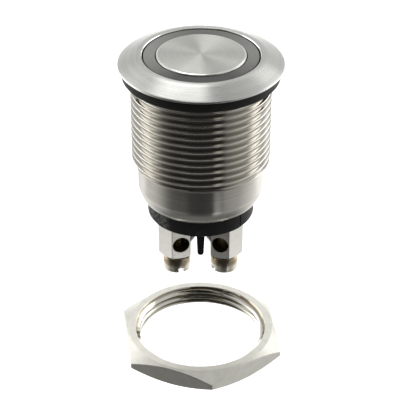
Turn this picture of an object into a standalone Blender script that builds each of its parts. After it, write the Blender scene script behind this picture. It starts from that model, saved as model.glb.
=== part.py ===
# Panel-mounted pushbutton switch with a metal body, a ring of light round the button,
# two screw-terminal posts and a separate panel nut.
# Heights are measured from the panel's front face, which is Z = 0. The button faces +Z.

import math

import bmesh
import bpy

mm = 0.001
degree = math.pi / 180
barrel_segments = 52

# Fits between pieces
seat_gap = 0.3 * mm             # a piece and the face it rests on
fit_clearance = 0.2 * mm        # each side of a piece held in a hole
slide_clearance = 0.15 * mm     # each side of a piece that slides or turns in another

# Barrel
thread_diameter = 19.0 * mm
thread_pitch = 1.0 * mm
thread_depth = 0.56 * mm
thread_length = 12.41 * mm
thread_neck = 0.3 * mm          # the run-out above the panel's face
thread_turn = -0.51             # a crest's place at the angle 0, in turns from the panel's face
plain_step = 0.9 * mm           # from the thread's crests in to the plain end
skirt_wall = 0.4 * mm
lip_reach = 0.47 * mm           # how far the rolled end stands in from the bore
lip_slope = 1.4
lip_height = 1.62 * mm          # the barrel's end up to the base's step
barrel_length = 18.67 * mm
roll_height = 2.27 * mm
roll_edge = 0.08 * mm
well_step = 0.33 * mm           # from the bore in to the well that the button moves in
well_depth = 3.5 * mm

# Flange, bezel and gasket
gasket_thickness = 1.3 * mm
gasket_width = 0.9 * mm
gasket_edge_round = 0.2 * mm
bezel_overhang = 0.52 * mm      # beyond the gasket
bezel_edge_height = 0.25 * mm
bezel_edge_round = 0.1 * mm
bezel_height = 1.4 * mm
bezel_land_width = 0.73 * mm
bezel_mouth_chamfer = 0.08 * mm

# Button and light ring
button_travel = 1.6 * mm
button_proud = 0.07 * mm
button_thickness = 0.87 * mm
button_bevel_width = 0.3 * mm
button_bevel_height = 0.14 * mm
button_spigot_diameter = 6.4 * mm
button_spigot_length = 0.6 * mm
light_ring_width = 1.64 * mm
light_ring_depth = 0.2 * mm
light_ring_chamfer = 0.12 * mm
button_running_gap = 0.23 * mm
carrier_web_thickness = 1.5 * mm
carrier_foot_thickness = 0.9 * mm
carrier_skirt_wall = 1.85 * mm
seal_cord_diameter = 0.54 * mm
seal_depth = 2.66 * mm          # from the bezel's land down to the seal's middle

# Plunger
plunger_spigot_diameter = 3.0 * mm
plunger_flange_diameter = 6.0 * mm
plunger_flange_thickness = 0.6 * mm
stem_diameter = 3.2 * mm
neck_diameter = 1.4 * mm
neck_tail = 0.5 * mm
clip_groove_diameter = 0.9 * mm
clip_diameter = 2.6 * mm
clip_thickness = 0.3 * mm
clip_opening = 70 * degree

# Lamps
lamp_board_thickness = 0.8 * mm
lamp_board_bore = 7.0 * mm
lamp_board_top = -4.6 * mm
lamp_size = (1.6 * mm, 1.2 * mm, 0.6 * mm)
lamp_inset = 1.4 * mm
lamp_count = 4
lamp_first_angle = 45 * degree
pin_width = 0.64 * mm
pin_spacing = 3.2 * mm
pin_inset = 1.13 * mm
pin_above_board = 0.7 * mm
pin_below_base = 4.4 * mm

# Guide body and return spring
spring_pocket_diameter = 6.4 * mm
guide_web_thickness = 1.0 * mm
chamber_height = 4.7 * mm
chamber_share = 0.675           # of the radius that the barrel leaves free
spring_diameter = 5.1 * mm
spring_wire = 0.4 * mm
spring_turns = 5.5

# Contacts
bridge_travel = 1.0 * mm
bridge_thickness = 0.4 * mm
bridge_width = 2.6 * mm
tip_head_diameter = 2.2 * mm
tip_head_height = 0.5 * mm
tip_stem_diameter = 1.0 * mm
tip_upset_diameter = 1.7 * mm
tip_upset_height = 0.25 * mm
fixed_contact_diameter = 2.4 * mm
fixed_contact_height = 0.6 * mm
fixed_stem_diameter = 0.8 * mm
fixed_stem_length = 1.2 * mm
contact_dome = 0.12 * mm
contact_spring_diameter = 2.2 * mm
contact_spring_wire = 0.24 * mm
contact_spring_turns = 2.5

# Terminal base
base_projection = 2.47 * mm
base_share = 0.218              # of the barrel's length that the base fills
base_top_to_posts = 0.6 * mm
base_edge_round = 0.25 * mm
rib_share = 0.166               # of the posts' spacing
rib_tip_share = 0.8             # of the rib's thickness at the base
rib_width = 5.6 * mm
rib_length = 6.3 * mm
base_relief_depth = 0.12 * mm
base_relief_top = 0.25 * mm     # below the barrel's end
base_pad_angles = (-143 * degree, -42 * degree)

# Posts and clamp screws
post_place_share = 0.425        # of the radius that the barrel leaves free
post_size_share = 0.6912        # of the posts' spacing
post_face_margin = 0.05 * mm    # from a flat in to the faced end
post_length = 6.89 * mm
post_turn = 16.2 * degree
post_shank_diameter = 2.5 * mm
wire_hole_share = 0.511         # of the post's width
wire_hole_height = 2.29 * mm
chamfer_slope = math.tan(30 * degree)
screw_diameter = 2.2 * mm
screw_length = 4.23 * mm
screw_head_diameter = 3.95 * mm
screw_head_height = 2.34 * mm
screw_head_standoff = 0.5 * mm
screw_head_bevel = 0.15 * mm
screw_slot_width = 0.75 * mm
screw_slot_depth = 0.8 * mm
screw_slot_angles = {"left": -71 * degree, "right": -144 * degree}

# Panel nut
nut_rest_height = -42.0 * mm
nut_wall = 1.5 * mm             # from the thread's crests to a flat
nut_thickness = 3.1 * mm
nut_face_margin = 0.35 * mm     # from a flat in to the faced ring
nut_turn = -82.3 * degree
nut_countersink = 0.25 * mm

# Sizes that follow from the ones above
thread_crest_radius = thread_diameter / 2
thread_root_radius = thread_crest_radius - thread_depth
plain_radius = thread_crest_radius - plain_step
gasket_bore_radius = thread_crest_radius + fit_clearance
gasket_radius = gasket_bore_radius + gasket_width
bezel_radius = gasket_radius + bezel_overhang
flange_underside = gasket_thickness + seat_gap
bezel_top = flange_underside + bezel_height
shoulder_height = bezel_top - well_depth
skirt_bore_radius = plain_radius - skirt_wall
core_radius = skirt_bore_radius - fit_clearance
well_radius = skirt_bore_radius - well_step
light_ring_radius = well_radius - button_running_gap
button_radius = light_ring_radius - light_ring_width
foot_radius = skirt_bore_radius - slide_clearance
mouth_radius = skirt_bore_radius - lip_reach
base_radius = mouth_radius - seat_gap
chamber_radius = core_radius * chamber_share
post_x = core_radius * post_place_share
post_across_flats = 2 * post_x * post_size_share
rib_thickness = 2 * post_x * rib_share
barrel_end = -barrel_length
base_bottom = barrel_end - base_projection

button_top = bezel_top + button_proud
button_underside = button_top - button_thickness
spigot_bottom = button_underside - button_spigot_length
recess_floor = button_underside - seat_gap
spigot_floor = spigot_bottom - seat_gap
web_underside = spigot_floor - carrier_web_thickness
foot_top = shoulder_height - seat_gap
foot_bottom = foot_top - carrier_foot_thickness
seal_middle_height = bezel_top - seal_depth
seal_middle_radius = well_radius - slide_clearance - seal_cord_diameter / 2
seal_groove_radius = seal_middle_radius - seal_cord_diameter / 2 - fit_clearance

lamp_board_underside = lamp_board_top - lamp_board_thickness
guide_top = lamp_board_underside - seat_gap
base_top = barrel_end + base_share * barrel_length
base_step = barrel_end + lip_height
guide_bottom = base_top + seat_gap
chamber_roof = guide_bottom + chamber_height
pocket_floor = chamber_roof + guide_web_thickness
post_inner_end = base_top + base_top_to_posts
fixed_contact_base = post_inner_end + seat_gap
fixed_contact_top = fixed_contact_base + fixed_contact_height
tip_bottom = fixed_contact_top + bridge_travel + seat_gap
tip_head_top = tip_bottom + tip_head_height
bridge_bottom = tip_head_top + seat_gap
bridge_top = bridge_bottom + bridge_thickness
over_travel = button_travel - bridge_travel
contact_spring_room = 2 * seat_gap + contact_spring_turns * contact_spring_wire + over_travel
neck_shoulder = bridge_top + contact_spring_room
clip_top = bridge_bottom - seat_gap
clip_bottom = clip_top - clip_thickness
neck_end = clip_bottom - neck_tail
plunger_flange_top = web_underside - seat_gap
plunger_flange_bottom = plunger_flange_top - plunger_flange_thickness

post_top = base_bottom - seat_gap
post_bottom = post_top - post_length
screw_bore_radius = screw_diameter / 2 + slide_clearance
pin_hole_radius = pin_width / math.sqrt(2) + slide_clearance
pin_y = base_radius - pin_inset
nut_across_flats = thread_diameter + 2 * nut_wall


def clear_scene():
    for thing in list(bpy.data.objects):
        bpy.data.objects.remove(thing, do_unlink=True)


def make_material(name, color, roughness, metallic):
    material = bpy.data.materials.new(name)
    material.use_nodes = True
    shader = material.node_tree.nodes["Principled BSDF"]
    shader.inputs["Base Color"].default_value = (*color, 1.0)
    shader.inputs["Roughness"].default_value = roughness
    shader.inputs["Metallic"].default_value = metallic
    return material


def make_empty(name, x=0.0, z=0.0):
    empty = bpy.data.objects.new(name, None)
    empty.empty_display_size = 2 * mm
    empty.location = (x, 0.0, z)
    bpy.context.scene.collection.objects.link(empty)
    return empty


def add_object(name, shape, material=None, parent=None, smooth_angle=None):
    # Turns a bmesh into an object, with every face turned outwards.
    bmesh.ops.recalc_face_normals(shape, faces=shape.faces)
    if shape.calc_volume(signed=True) < 0:
        bmesh.ops.reverse_faces(shape, faces=shape.faces)
    mesh = bpy.data.meshes.new(name)
    shape.to_mesh(mesh)
    shape.free()
    thing = bpy.data.objects.new(name, mesh)
    bpy.context.scene.collection.objects.link(thing)
    if material:
        mesh.materials.append(material)
    if smooth_angle is not None:
        mesh.shade_smooth()
        mesh.set_sharp_from_angle(angle=smooth_angle)
    thing.parent = parent
    return thing


def turned_shape(outline, segments):
    # Spins an outline of (radius, height) points round the Z axis.
    # An outline that begins and ends on the axis is closed by the axis.
    shape = bmesh.new()
    points = [shape.verts.new((radius, 0.0, height)) for radius, height in outline]
    edges = [shape.edges.new(pair) for pair in zip(points, points[1:])]
    touches_axis = outline[0][0] == 0.0 and outline[-1][0] == 0.0
    if not touches_axis:
        edges.append(shape.edges.new((points[-1], points[0])))
    bmesh.ops.spin(shape, geom=points + edges, cent=(0, 0, 0), axis=(0, 0, 1),
                   angle=2 * math.pi, steps=segments, use_merge=True)
    bmesh.ops.remove_doubles(shape, verts=shape.verts, dist=0.5e-6)
    return shape


def lathe_shape(rows, segments):
    # Joins rows that run once round the Z axis, and the last row to the first one.
    # A row is one (radius, height) pair, or a list of them that may rise on its way
    # round, with one pair more than there are segments.
    shape = bmesh.new()
    rings = []
    for row in rows:
        pairs = row if isinstance(row, list) else [row] * (segments + 1)
        ring = []
        for step, (radius, height) in enumerate(pairs):
            angle = 2 * math.pi * step / segments
            ring.append(shape.verts.new((radius * math.cos(angle), radius * math.sin(angle),
                                         height)))
        rings.append(ring)
    for first, second in zip(rings, rings[1:] + rings[:1]):
        for step in range(segments):
            shape.faces.new((first[step], first[step + 1], second[step + 1], second[step]))
    bmesh.ops.remove_doubles(shape, verts=shape.verts, dist=0.5e-6)
    return shape


def thread_rows(bottom, top, segments):
    # Rows that climb one pitch in a turn, in turn along a crest and along a root, from
    # the top down. At the two heights they are held level, where spare rows fall
    # together, and below the thread's length they are held inside a 45 degree chamfer.
    first = math.ceil(top / thread_pitch - thread_turn) + 1
    last = math.floor(bottom / thread_pitch - thread_turn) - 2
    rows = []
    for half_turn in range(2 * (first - last)):
        row = []
        for step in range(segments + 1):
            share = step / segments
            turns = first - half_turn / 2 + share
            height = min(max((turns + thread_turn) * thread_pitch, bottom), top)
            place = height / thread_pitch - thread_turn - share
            off_crest = abs(place - round(place))
            radius = thread_crest_radius - 2 * off_crest * thread_depth
            chamfer = thread_crest_radius + height + thread_length
            row.append((min(radius, chamfer), height))
        rows.append(row)
    return rows


def arc(centre_radius, centre_height, radius, start, end, steps):
    # Points of a round stretch of an outline, from one angle to another.
    points = []
    for step in range(steps + 1):
        angle = start + (end - start) * step / steps
        points.append((centre_radius + radius * math.cos(angle),
                       centre_height + radius * math.sin(angle)))
    return points


def prism_shape(corners, bottom, top):
    # Extrudes a flat outline of (x, y) corners between two heights.
    shape = bmesh.new()
    base = [shape.verts.new((x, y, bottom)) for x, y in corners]
    face = shape.faces.new(base)
    raised = bmesh.ops.extrude_face_region(shape, geom=[face])
    moved = [item for item in raised["geom"] if isinstance(item, bmesh.types.BMVert)]
    bmesh.ops.translate(shape, verts=moved, vec=(0, 0, top - bottom))
    return shape


def hexagon(across_flats, turn):
    # Corners of a hexagon with one corner at the angle turn.
    radius = across_flats / math.sqrt(3)
    corners = []
    for step in range(6):
        angle = turn + step * math.pi / 3
        corners.append((radius * math.cos(angle), radius * math.sin(angle)))
    return corners


def box_corners(width, depth):
    return [(-width / 2, -depth / 2), (width / 2, -depth / 2),
            (width / 2, depth / 2), (-width / 2, depth / 2)]


def cylinder_shape(radius, bottom, top, segments):
    corners = arc(0, 0, radius, 0, 2 * math.pi * (segments - 1) / segments, segments - 1)
    return prism_shape(corners, bottom, top)


def make_cutter(name, shape, location=(0, 0, 0), rotation=(0, 0, 0), parent=None):
    cutter = add_object(name, shape, parent=parent)
    cutter.location = location
    cutter.rotation_euler = rotation
    cutter.hide_render = True
    cutter.display_type = 'WIRE'
    return cutter


def combine(target, tool, operation='DIFFERENCE'):
    modifier = target.modifiers.new(tool.name, 'BOOLEAN')
    modifier.operation = operation
    modifier.object = tool
    modifier.solver = 'EXACT'


def coil_shape(mean_radius, wire_radius, bottom, top, turns, steps_per_turn, sides):
    # A round wire carried along a helix, with its centre line kept inside the two heights.
    shape = bmesh.new()
    low = bottom + wire_radius
    high = top - wire_radius
    count = int(turns * steps_per_turn)
    slope = (high - low) / (turns * 2 * math.pi * mean_radius)
    lean = math.atan(slope)
    rings = []
    for step in range(count + 1):
        share = step / count
        angle = share * turns * 2 * math.pi
        outward = (math.cos(angle), math.sin(angle))
        along = (-math.sin(angle), math.cos(angle))
        height = low + (high - low) * share
        ring = []
        for side in range(sides):
            around = side * 2 * math.pi / sides
            reach = mean_radius + wire_radius * math.cos(around)
            rise = wire_radius * math.sin(around)
            shift = -rise * math.sin(lean)
            ring.append(shape.verts.new((outward[0] * reach + along[0] * shift,
                                         outward[1] * reach + along[1] * shift,
                                         height + rise * math.cos(lean))))
        rings.append(ring)
    for first, second in zip(rings, rings[1:]):
        for side in range(sides):
            following = (side + 1) % sides
            shape.faces.new((first[side], second[side], second[following], first[following]))
    shape.faces.new(rings[0])
    shape.faces.new(rings[-1])
    return shape


def build_barrel(steel):
    # Outer side from the bezel's mouth down to the rolled end, then up the inside.
    land_radius = well_radius + bezel_land_width
    rim_top = flange_underside + bezel_edge_height
    thread_end = -thread_length - plain_step
    roll_top = barrel_end + roll_height
    roll_reach = plain_radius - (mouth_radius + roll_edge)
    roll_radius = (roll_reach ** 2 + roll_height ** 2) / (2 * roll_reach)
    roll_angle = math.asin(roll_height / roll_radius)
    rows = [(well_radius, bezel_top - bezel_mouth_chamfer),
            (well_radius + bezel_mouth_chamfer, bezel_top),
            (land_radius, bezel_top)]
    rows += arc(bezel_radius - bezel_edge_round, rim_top - bezel_edge_round / 2,
                bezel_edge_round, 60 * degree, 0, 2)
    rows += arc(bezel_radius - bezel_edge_round, flange_underside + bezel_edge_round,
                bezel_edge_round, 0, -90 * degree, 2)
    rows += [(thread_root_radius, flange_underside), (thread_root_radius, thread_neck)]
    rows += thread_rows(thread_end, 0.0, barrel_segments)
    rows += [(plain_radius, thread_end)]
    rows += arc(plain_radius - roll_radius, roll_top, roll_radius, 0, -roll_angle, 4)
    rows += [(mouth_radius, barrel_end),
             (mouth_radius, base_step - seat_gap - lip_slope * (core_radius - mouth_radius)),
             (skirt_bore_radius, base_step - seat_gap + lip_slope * fit_clearance),
             (skirt_bore_radius, shoulder_height),
             (well_radius, shoulder_height)]
    return add_object("barrel_housing", lathe_shape(rows, barrel_segments), steel,
                      smooth_angle=25 * degree)


def build_gasket(rubber):
    rounding = gasket_edge_round
    middle = gasket_radius - rounding
    outline = [(gasket_bore_radius, gasket_thickness)]
    outline += arc(middle, gasket_thickness - rounding, rounding, 90 * degree, 0, 2)
    outline += arc(middle, rounding, rounding, 0, -90 * degree, 2)
    outline += [(gasket_bore_radius, 0.0)]
    return add_object("flange_gasket", turned_shape(outline, 44), rubber,
                      smooth_angle=50 * degree)


def build_button_cap(steel, parent):
    outline = [(0.0, button_top),
               (button_radius - button_bevel_width, button_top),
               (button_radius, button_top - button_bevel_height),
               (button_radius, button_underside),
               (button_spigot_diameter / 2, button_underside),
               (button_spigot_diameter / 2, spigot_bottom),
               (0.0, spigot_bottom)]
    return add_object("button_cap", turned_shape(outline, 48), steel, parent,
                      smooth_angle=20 * degree)


def build_light_ring(diffuser, parent):
    # The ring that shows, the seal's groove, and the foot that stops under the shoulder.
    ring_top = bezel_top - light_ring_depth
    cap_recess = button_radius + slide_clearance
    spigot_recess = button_spigot_diameter / 2 + fit_clearance
    plunger_hole = plunger_spigot_diameter / 2 + fit_clearance
    groove_room = seal_cord_diameter / 2 + fit_clearance
    outline = [(cap_recess, ring_top),
               (light_ring_radius - light_ring_chamfer, ring_top),
               (light_ring_radius, ring_top - light_ring_chamfer),
               (light_ring_radius, seal_middle_height + groove_room),
               (seal_groove_radius, seal_middle_height + groove_room),
               (seal_groove_radius, seal_middle_height - groove_room),
               (light_ring_radius, seal_middle_height - groove_room),
               (light_ring_radius, foot_top),
               (foot_radius, foot_top),
               (foot_radius, foot_bottom),
               (foot_radius - carrier_skirt_wall, foot_bottom),
               (foot_radius - carrier_skirt_wall, web_underside),
               (plunger_hole, web_underside),
               (plunger_hole, spigot_floor),
               (spigot_recess, spigot_floor),
               (spigot_recess, recess_floor),
               (cap_recess, recess_floor)]
    return add_object("light_ring", turned_shape(outline, 40), diffuser, parent,
                      smooth_angle=20 * degree)


def build_button_seal(rubber, parent):
    outline = arc(seal_middle_radius, seal_middle_height, seal_cord_diameter / 2,
                  0, 2 * math.pi * 5 / 6, 5)
    return add_object("button_seal", turned_shape(outline, 32), rubber, parent,
                      smooth_angle=60 * degree)


def build_plunger(plastic, parent):
    neck = neck_diameter / 2
    groove = clip_groove_diameter / 2
    clip_play = slide_clearance
    outline = [(0.0, spigot_floor),
               (plunger_spigot_diameter / 2, spigot_floor),
               (plunger_spigot_diameter / 2, plunger_flange_top),
               (plunger_flange_diameter / 2, plunger_flange_top),
               (plunger_flange_diameter / 2, plunger_flange_bottom),
               (stem_diameter / 2, plunger_flange_bottom),
               (stem_diameter / 2, neck_shoulder),
               (neck, neck_shoulder),
               (neck, clip_top + clip_play),
               (groove, clip_top + clip_play),
               (groove, clip_bottom - clip_play),
               (neck, clip_bottom - clip_play),
               (neck, neck_end),
               (0.0, neck_end)]
    return add_object("plunger", turned_shape(outline, 16), plastic, parent,
                      smooth_angle=30 * degree)


def build_bridge_clip(spring_steel, parent):
    # A flat C-shaped clip, open at one side so that it can be pushed into the neck's groove.
    inner = clip_groove_diameter / 2 + slide_clearance
    outer = clip_diameter / 2
    start = clip_opening / 2
    sweep = 2 * math.pi - clip_opening
    steps = 14
    corners = arc(0, 0, outer, start, start + sweep, steps)
    corners += arc(0, 0, inner, start + sweep, start, steps)
    shape = prism_shape(corners, clip_bottom, clip_top)
    return add_object("bridge_clip", shape, spring_steel, parent)


def build_return_spring(spring_steel):
    shape = coil_shape(spring_diameter / 2, spring_wire / 2, pocket_floor + seat_gap,
                       plunger_flange_bottom - seat_gap, spring_turns, 10, 5)
    return add_object("return_spring", shape, spring_steel, smooth_angle=60 * degree)


def build_contact_spring(spring_steel, parent):
    shape = coil_shape(contact_spring_diameter / 2, contact_spring_wire / 2,
                       bridge_top + seat_gap, neck_shoulder - seat_gap,
                       contact_spring_turns, 10, 5)
    return add_object("contact_spring", shape, spring_steel, parent, smooth_angle=60 * degree)


def drill_pin_holes(target, name, bottom, top):
    # Two round holes for the lamp pins, which stand side by side behind the axis.
    for side, label in ((-1, "minus"), (1, "plus")):
        hole = cylinder_shape(pin_hole_radius, bottom, top, 12)
        place = (side * pin_spacing / 2, pin_y, 0)
        combine(target, make_cutter(f"{name}_{label}_hole", hole, place))


def build_guide_body(plastic):
    stem_hole = stem_diameter / 2 + slide_clearance
    outline = [(spring_pocket_diameter / 2, guide_top),
               (core_radius, guide_top),
               (core_radius, guide_bottom),
               (chamber_radius, guide_bottom),
               (chamber_radius, chamber_roof),
               (stem_hole, chamber_roof),
               (stem_hole, pocket_floor),
               (spring_pocket_diameter / 2, pocket_floor)]
    guide = add_object("guide_body", turned_shape(outline, 40), plastic,
                       smooth_angle=30 * degree)
    drill_pin_holes(guide, "guide", guide_bottom - 1 * mm, guide_top + 1 * mm)
    return guide


def build_lamp_board(laminate):
    outline = [(lamp_board_bore / 2, lamp_board_top),
               (core_radius, lamp_board_top),
               (core_radius, lamp_board_underside),
               (lamp_board_bore / 2, lamp_board_underside)]
    board = add_object("led_board", turned_shape(outline, 40), laminate,
                       smooth_angle=30 * degree)
    drill_pin_holes(board, "board", lamp_board_underside - 1 * mm, lamp_board_top + 1 * mm)
    return board


def build_lamps(lens):
    width, depth, height = lamp_size
    bottom = lamp_board_top + seat_gap
    shape = prism_shape(box_corners(width, depth), 0.0, height)
    first = add_object("led_1", shape, lens)
    mesh = first.data
    lamps = [first]
    for number in range(2, lamp_count + 1):
        lamp = bpy.data.objects.new(f"led_{number}", mesh)
        bpy.context.scene.collection.objects.link(lamp)
        lamps.append(lamp)
    for number, lamp in enumerate(lamps):
        angle = lamp_first_angle + number * 2 * math.pi / lamp_count
        reach = core_radius - lamp_inset
        lamp.location = (reach * math.cos(angle), reach * math.sin(angle), bottom)
        lamp.rotation_euler = (0, 0, angle + math.pi / 2)
    return lamps


def build_lamp_pins(plated):
    bottom = base_bottom - pin_below_base
    top = lamp_board_top + pin_above_board
    tip = pin_width / 2
    for side, label in ((-1, "minus"), (1, "plus")):
        shape = prism_shape(box_corners(pin_width, pin_width), bottom, top)
        low_end = [vert for vert in shape.verts if vert.co.z < bottom + tip]
        raised = bmesh.ops.extrude_discrete_faces(
            shape, faces=[face for face in shape.faces
                          if all(vert in low_end for vert in face.verts)])
        end_verts = [vert for face in raised["faces"] for vert in face.verts]
        for vert in end_verts:
            vert.co.x *= 0.5
            vert.co.y *= 0.5
            vert.co.z -= tip
        pin = add_object(f"led_pin_{label}", shape, plated)
        pin.location = (side * pin_spacing / 2, pin_y, 0)


def rounded_strip(length, width, steps):
    # Outline of a strip with round ends, centred on the origin and lying along X.
    half = length / 2 - width / 2
    quarter = 90 * degree
    corners = arc(half, 0, width / 2, -quarter, quarter, steps)
    corners += arc(-half, 0, width / 2, quarter, 3 * quarter, steps)
    return corners


def build_bridge(brass, silver, parent):
    length = 2 * post_x + bridge_width
    shape = prism_shape(rounded_strip(length, bridge_width, 8), bridge_bottom, bridge_top)
    bridge = add_object("bridge_contact", shape, brass, parent)
    neck_hole = cylinder_shape(neck_diameter / 2 + slide_clearance,
                               bridge_bottom - 1 * mm, bridge_top + 1 * mm, 20)
    combine(bridge, make_cutter("bridge_neck_hole", neck_hole))
    for side, label in ((-1, "left"), (1, "right")):
        hole = cylinder_shape(tip_stem_diameter / 2 + slide_clearance,
                              bridge_bottom - 1 * mm, bridge_top + 1 * mm, 16)
        combine(bridge, make_cutter(f"bridge_{label}_hole", hole, (side * post_x, 0, 0)))
        upset_bottom = bridge_top + seat_gap
        outline = [(0.0, upset_bottom + tip_upset_height),
                   (tip_upset_diameter / 2, upset_bottom + tip_upset_height / 2),
                   (tip_upset_diameter / 2, upset_bottom),
                   (tip_stem_diameter / 2, upset_bottom),
                   (tip_stem_diameter / 2, tip_head_top),
                   (tip_head_diameter / 2, tip_head_top),
                   (tip_head_diameter / 2, tip_bottom + contact_dome),
                   (tip_head_diameter / 4, tip_bottom + contact_dome / 4),
                   (0.0, tip_bottom)]
        tip = add_object(f"bridge_tip_{label}", turned_shape(outline, 12), silver, parent,
                         smooth_angle=40 * degree)
        tip.location = (side * post_x, 0, 0)
    return bridge


def build_fixed_contacts(silver):
    radius = fixed_contact_diameter / 2
    stem = fixed_stem_diameter / 2
    outline = [(0.0, fixed_contact_top),
               (radius / 2, fixed_contact_top - contact_dome / 4),
               (radius, fixed_contact_top - contact_dome),
               (radius, fixed_contact_base),
               (stem, fixed_contact_base),
               (stem, fixed_contact_base - fixed_stem_length),
               (0.0, fixed_contact_base - fixed_stem_length)]
    for side, label in ((-1, "left"), (1, "right")):
        contact = add_object(f"fixed_contact_{label}", turned_shape(outline, 12), silver,
                             smooth_angle=40 * degree)
        contact.location = (side * post_x, 0, 0)


def rib_shape():
    # The barrier between the posts: a tapered blade with a full-round lower edge,
    # drawn in the XZ plane and extruded along Y. Its top runs into the base.
    half_top = rib_thickness / 2
    half_tip = half_top * rib_tip_share
    tip_centre = base_bottom - rib_length + half_tip
    outline = [(half_top, base_bottom + 1 * mm), (half_top, base_bottom - 1 * mm)]
    outline += arc(0, tip_centre, half_tip, 0, -180 * degree, 8)
    outline += [(-half_top, base_bottom - 1 * mm), (-half_top, base_bottom + 1 * mm)]
    shape = bmesh.new()
    front = [shape.verts.new((x, -rib_width / 2, z)) for x, z in outline]
    face = shape.faces.new(front)
    raised = bmesh.ops.extrude_face_region(shape, geom=[face])
    moved = [item for item in raised["geom"] if isinstance(item, bmesh.types.BMVert)]
    bmesh.ops.translate(shape, verts=moved, vec=(0, rib_width, 0))
    return shape


def build_terminal_base(plastic):
    rounding = base_edge_round
    outline = [(0.0, base_top),
               (core_radius, base_top),
               (core_radius, base_step),
               (base_radius, base_step)]
    outline += arc(base_radius - rounding, base_bottom + rounding, rounding,
                   0, -90 * degree, 2)
    outline += [(0.0, base_bottom)]
    base = add_object("terminal_base", turned_shape(outline, 48), plastic,
                      smooth_angle=30 * degree)
    rib = make_cutter("barrier_rib", rib_shape())
    combine(base, rib, 'UNION')
    for side, label in ((-1, "left"), (1, "right")):
        hole = cylinder_shape(post_shank_diameter / 2 + slide_clearance,
                              base_bottom - 1 * mm, base_top + 1 * mm, 16)
        combine(base, make_cutter(f"base_{label}_hole", hole, (side * post_x, 0, 0)))
    drill_pin_holes(base, "base", base_bottom - 1 * mm, base_top + 1 * mm)
    combine(base, make_cutter("base_relief", relief_shape()))
    return base


def relief_shape():
    # The base's side stands back a little except for a pad at the front:
    # a ring sector that is cut away from one edge of the pad round to the other.
    start, end = base_pad_angles
    inner = base_radius - base_relief_depth
    outer = base_radius + 1 * mm
    steps = 30
    corners = arc(0, 0, outer, end, start + 2 * math.pi, steps)
    corners += arc(0, 0, inner, start + 2 * math.pi, end, steps)
    return prism_shape(corners, base_bottom - 1 * mm, barrel_end - base_relief_top)


def end_chamfer_shape(flat_radius, corner_radius, bottom, top, segments):
    # The turned body that faces a hexagon's lower end and takes the corners off there.
    # The bar that it cuts is longer below and shorter above, so that no two faces lie
    # in one plane.
    reach = corner_radius * 1.1
    fall = (reach - flat_radius) * chamfer_slope
    outline = [(0.0, top + 1 * mm), (reach, top + 1 * mm), (reach, bottom + fall),
               (flat_radius, bottom), (0.0, bottom)]
    return turned_shape(outline, segments)


def double_chamfer_shape(flat_radius, bottom, top, segments):
    # The same for both ends of a thin hexagon: two cones that meet halfway up.
    half = (top - bottom) / 2
    outline = [(0.0, top), (flat_radius, top),
               (flat_radius + half / chamfer_slope, top - half),
               (flat_radius, bottom), (0.0, bottom)]
    return turned_shape(outline, segments)


def build_post(label, side, plated):
    # A hexagonal bar with a round shank above, a wire hole across and a screw bore below.
    axis = make_empty(f"post_axis_{label}", side * post_x)
    hole_facing = -90 * degree - side * post_turn
    corner_angle = hole_facing + 30 * degree
    shape = prism_shape(hexagon(post_across_flats, corner_angle), post_bottom - 1 * mm,
                        post_top)
    post = add_object(f"terminal_post_{label}", shape, plated, axis)
    corner_radius = post_across_flats / math.sqrt(3)
    face_radius = post_across_flats / 2 - post_face_margin
    turning = end_chamfer_shape(face_radius, corner_radius, post_bottom, post_top, 30)
    combine(post, make_cutter(f"post_chamfer_{label}", turning, parent=axis), 'INTERSECT')
    shank = cylinder_shape(post_shank_diameter / 2, post_top - 1 * mm, post_inner_end, 16)
    combine(post, make_cutter(f"post_shank_{label}", shank, parent=axis), 'UNION')
    stem_room = cylinder_shape(fixed_stem_diameter / 2 + slide_clearance,
                               fixed_contact_base - fixed_stem_length - seat_gap,
                               post_inner_end + 1 * mm, 12)
    combine(post, make_cutter(f"post_stem_hole_{label}", stem_room, parent=axis))
    wire_height = post_bottom + wire_hole_height
    wire_radius = post_across_flats * wire_hole_share / 2
    wire_hole = cylinder_shape(wire_radius, -post_across_flats, post_across_flats, 20)
    hole = make_cutter(f"post_wire_hole_{label}", wire_hole, (0, 0, wire_height),
                       (90 * degree, 0, hole_facing + 90 * degree), axis)
    combine(post, hole)
    bore_top = screw_tip() + seat_gap
    bore = cylinder_shape(screw_bore_radius, post_bottom - 1 * mm, bore_top, 16)
    combine(post, make_cutter(f"post_screw_bore_{label}", bore, parent=axis))
    return post


def screw_tip():
    return post_bottom - screw_head_standoff + screw_length


def build_clamp_screw(label, side, plated):
    # A slotted screw with a plain shank at its thread's pitch diameter.
    axis = make_empty(f"screw_axis_{label}", side * post_x)
    head_top = post_bottom - screw_head_standoff
    head_bottom = head_top - screw_head_height
    head = screw_head_diameter / 2
    shank = screw_diameter / 2
    bevel = screw_head_bevel
    tip = screw_tip()
    outline = [(0.0, tip),
               (shank - bevel, tip),
               (shank, tip - bevel),
               (shank, head_top),
               (head - bevel, head_top),
               (head, head_top - bevel),
               (head, head_bottom + bevel),
               (head - bevel, head_bottom),
               (0.0, head_bottom)]
    screw = add_object(f"clamp_screw_{label}", turned_shape(outline, 20), plated, axis,
                       smooth_angle=30 * degree)
    slot = prism_shape(box_corners(2 * screw_head_diameter, screw_slot_width),
                       head_bottom - 1 * mm, head_bottom + screw_slot_depth)
    turn = (0, 0, screw_slot_angles[label])
    combine(screw, make_cutter(f"screw_slot_{label}", slot, rotation=turn, parent=axis))
    return screw


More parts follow.
